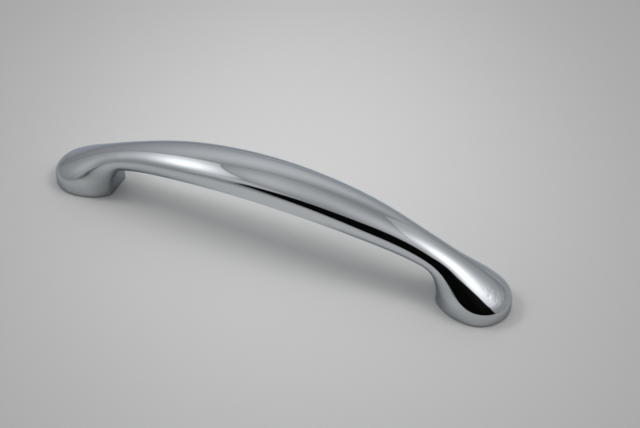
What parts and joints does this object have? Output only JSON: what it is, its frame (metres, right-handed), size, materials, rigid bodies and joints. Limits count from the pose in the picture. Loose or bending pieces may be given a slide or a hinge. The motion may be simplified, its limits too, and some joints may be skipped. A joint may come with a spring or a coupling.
{
  "type": "cabinet handle",
  "caption": "Bow-shaped pull handle with a lens-shaped grip that narrows to a neck over each rounded foot, for cabinet doors and drawer fronts.",
  "frame": {"origin": "midway between the two screw holes, on the plane of the feet's seats, which is the door face", "axes": "+X along the bow, +Y across it, +Z out of the door face towards the top of the bow"},
  "size_m": [0.1488, 0.0188, 0.0272],
  "materials": {
    "chrome_plate": "bright polished chrome plate on a zinc casting"
  },
  "bodies": {
    "root": {"handle": "chrome_plate"}
  },
  "joints": []
}
